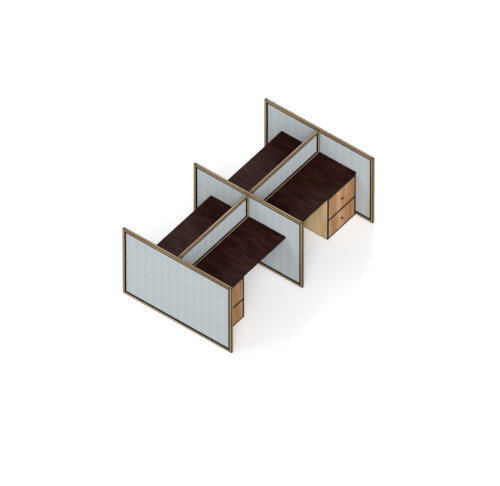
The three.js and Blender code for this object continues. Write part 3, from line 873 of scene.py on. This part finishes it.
def knobs(dark_metal, pale_metal):
    """A turned knob in the place of each CAD knob."""
    pattern = turned_knob(dark_metal, pale_metal)
    for drawer in DRAWERS:
        low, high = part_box(f"{drawer}_knob")
        knob = renamed(copied(pattern), f"{drawer}_turned_knob")
        turn = math.pi if "left" in drawer else 0.0
        settled(knob, Vector((0, (low.y + high.y) / 2, (low.z + high.z) / 2)), turn)
        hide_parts(f"{drawer}_knob")
        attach(knob, body_of[f"{drawer}_knob"])
    bpy.data.objects.remove(pattern)


def prism(name, sides, radius, height, middle, zinc):
    """A prism on Z with its middle at that height, as the start of a washer or a bolt's head."""
    bpy.ops.mesh.primitive_cylinder_add(
        vertices=sides, radius=radius, depth=height, location=(0, 0, middle)
    )
    return started(name, zinc)


def is_top(face):
    return face.normal.z > FLAT_FACE


def hex_bolt(zinc):
    """The head of a bolt on its washer, on the origin, with its axis up."""
    middle = WASHER_THICKNESS / 2
    washer = prism("washer", WASHER_SIDES, WASHER_RADIUS, WASHER_THICKNESS, middle, zinc)
    with editing(washer):
        pick_faces(washer, is_top)
        bevel_outline(WASHER_BEVEL, 1)
    middle = WASHER_THICKNESS + BOLT_HEAD_HEIGHT / 2
    head = prism("bolt_head", BOLT_SIDES, BOLT_HEAD_RADIUS, BOLT_HEAD_HEIGHT, middle, zinc)
    with editing(head):
        pick_faces(head, is_top)
        bevel_outline(BOLT_HEAD_BEVEL, BOLT_HEAD_BEVEL_STEPS)
        pick_faces(head, is_top)
        bpy.ops.mesh.inset(thickness=BOLT_DISH_RIM, depth=-BOLT_DISH_DEPTH)
    return smoothed(joined([washer, head]))


def bolt_places(low, high):
    """Where the bolts of the front support sit, as (place, axis) pairs: in the outer screen's plate,
    in the angle's upright leg and in its seat."""
    top = high.z
    plate_face = low.y + STEEL_GAUGE
    plate_side = PLATE_WIDTH / 2 - BOLT_EDGE
    places = []
    for side in (-1, 1):
        places.append(((side * plate_side, plate_face, top - PLATE_HEIGHT + BOLT_EDGE), "+Y"))
        along = BOLT_PITCH / 2
        while along < high.x - ANGLE_END_CUT:
            places.append(((side * along, high.y - STEEL_GAUGE, top - ANGLE_LEG + BOLT_EDGE), "-Y"))
            places.append(((side * along, high.y - ANGLE_LEG + BOLT_EDGE, top - STEEL_GAUGE), "-Z"))
            along += BOLT_PITCH
    return places


def support_bolts(zinc):
    """The bolts of both worktop supports, made for the front one and turned round for the back."""
    turns = {
        "+Y": Matrix.Rotation(-math.pi / 2, 4, "X"),
        "-Y": Matrix.Rotation(math.pi / 2, 4, "X"),
        "-Z": Matrix.Rotation(math.pi, 4, "X"),
    }
    pattern = hex_bolt(zinc)
    bolts = []
    for place, axis in bolt_places(*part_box("front_worktop_support")):
        bolt = copied(pattern)
        bolt.data.transform(Matrix.Translation(place) @ turns[axis])
        bolts.append(bolt)
    bpy.data.objects.remove(pattern)
    front = joined(bolts)
    back = settled(copied(front), Vector(), math.pi)
    for bay, bay_bolts in zip(BAYS, (front, back)):
        renamed(bay_bolts, f"{bay}_support_bolts")
        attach(bay_bolts, "root")


def dress_frames():
    """Oak on every stile and rail, with its grain along the member."""
    for screens, ends, rail_axis in ((WIDE_SCREENS, SIDES, 0), (SPINE_SCREENS, BAYS, 1)):
        for screen in screens:
            for end in ends:
                use(frame_oak(f"{screen}_{end}_stile", 2), f"{screen}_{end}_stile")
            for level in ("top", "bottom"):
                use(frame_oak(f"{screen}_{level}_rail", rail_axis), f"{screen}_{level}_rail")


def dress_desks():
    """Wenge, steel, oak, beech and ply on the worktops, their supports and the pedestals."""
    use(worktop_wenge(), *(f"{pedestal}_worktop" for pedestal in PEDESTALS))
    use(support_steel(), *(f"{bay}_worktop_support" for bay in BAYS))
    for pedestal in PEDESTALS:
        use(carcass_oak(f"{pedestal}_carcass"), f"{pedestal}_carcass")
    for drawer in DRAWERS:
        use(drawer_beech(f"{drawer}_front"), f"{drawer}_front")
    use(drawer_ply(), *(f"{drawer}_box" for drawer in DRAWERS))


def dress_screens():
    """A wrapped board and a pair of gaskets in every screen."""
    cloth = [screen_fabric("screen_fabric_across", 0), screen_fabric("screen_fabric_spine", 1)]
    rubber = gasket_rubber()
    for screen in WIDE_SCREENS + SPINE_SCREENS:
        wrapped_board(screen, cloth[screen_layout(screen)["across"]])
        gaskets(screen, rubber)


def photo_camera():
    """A camera on the photograph's line of sight, so far off that the view is all but parallel."""
    a, e = VIEW_AZIMUTH, VIEW_ELEVATION
    right = Vector((math.cos(a), math.sin(a), 0))
    up = Vector((-math.sin(a) * math.sin(e), math.cos(a) * math.sin(e), math.cos(e)))
    back = right.cross(up)
    aim = right * AIM_RIGHT + up * AIM_UP + back * (AIM_HEIGHT * back.z)
    data = bpy.data.cameras.new("photo_camera")
    data.lens = LENS
    data.sensor_width = SENSOR
    data.clip_start, data.clip_end = CLIP
    camera = bpy.data.objects.new("photo_camera", data)
    bpy.context.collection.objects.link(camera)
    camera.location = aim + back * (VIEW_WIDTH * LENS / SENSOR)
    camera.rotation_euler = (-back).to_track_quat("-Z", "Y").to_euler()
    bpy.context.scene.camera = camera


def seen_directly(tree):
    """1 where a thing is seen itself, or in metal or glass, and 0 where it only lights others."""
    path = tree.nodes.new("ShaderNodeLightPath")
    seen = path.outputs["Is Camera Ray"]
    for kind in ("Is Glossy Ray", "Is Transmission Ray"):
        either = tree.nodes.new("ShaderNodeMath")
        either.operation = "MAXIMUM"
        tree.links.new(seen, either.inputs[0])
        tree.links.new(path.outputs[kind], either.inputs[1])
        seen = either.outputs[0]
    return seen


def by_sight(tree, socket, unseen_level, seen_level):
    """Feeds a socket one level where the thing only lights others, and another where it is seen."""
    switch = tree.nodes.new("ShaderNodeMapRange")
    tree.links.new(seen_directly(tree), switch.inputs["Value"])
    switch.inputs["To Min"].default_value = unseen_level
    switch.inputs["To Max"].default_value = seen_level
    tree.links.new(switch.outputs[0], socket)


def studio_sky():
    """An even white sky that lights softly and looks white."""
    world = bpy.data.worlds.new("studio_sky")
    bpy.context.scene.world = world
    world.use_nodes = True
    background = world.node_tree.nodes["Background"]
    background.inputs["Color"].default_value = WHITE
    by_sight(world.node_tree, background.inputs["Strength"], SKY_LEVEL, 1.0)


def soft_lamp(name, level, azimuth, elevation):
    """A broad soft lamp, far away in that direction, which is in degrees."""
    data = bpy.data.lights.new(name, "SUN")
    data.energy = level
    data.angle = LAMP_SPREAD
    lamp = bpy.data.objects.new(name, data)
    bpy.context.collection.objects.link(lamp)
    a, e = math.radians(azimuth), math.radians(elevation)
    towards = Vector((math.sin(a) * math.cos(e), -math.cos(a) * math.cos(e), math.sin(e)))
    lamp.rotation_euler = (-towards).to_track_quat("-Z", "Y").to_euler()


def studio_floor():
    """A pale floor that looks white and keeps the object's shadow."""
    bpy.ops.mesh.primitive_plane_add(size=FLOOR_SIZE)
    floor = bpy.context.object
    floor.name = "studio_floor"
    material = bpy.data.materials.new("studio_floor")
    material.use_nodes = True
    tree = material.node_tree
    shader = tree.nodes["Principled BSDF"]
    by_sight(tree, shader.inputs["Base Color"], FLOOR_SHADE, FLOOR_SEEN_SHADE)
    by_sight(tree, shader.inputs["Emission Strength"], 0.0, FLOOR_GLOW)
    shader.inputs["Emission Color"].default_value = WHITE
    shader.inputs["Roughness"].default_value = 1.0
    shader.inputs["Specular IOR Level"].default_value = 0.0
    floor.data.materials.append(material)


photo_camera()
dress_frames()
dress_desks()
dress_screens()
knobs(
    knob_metal("knob_rim", colour(5, 5, 6), colour(20, 20, 21), metallic=0.0, gloss=0.08),
    knob_metal("knob_dish", colour(146, 147, 150), colour(186, 187, 190), metallic=0.9, gloss=0.25),
)
support_bolts(bolt_zinc())

studio_sky()
for lamp_name, lamp_setting in LAMPS.items():
    soft_lamp(lamp_name, **lamp_setting)
studio_floor()
bpy.context.scene.view_settings.view_transform = "Standard"
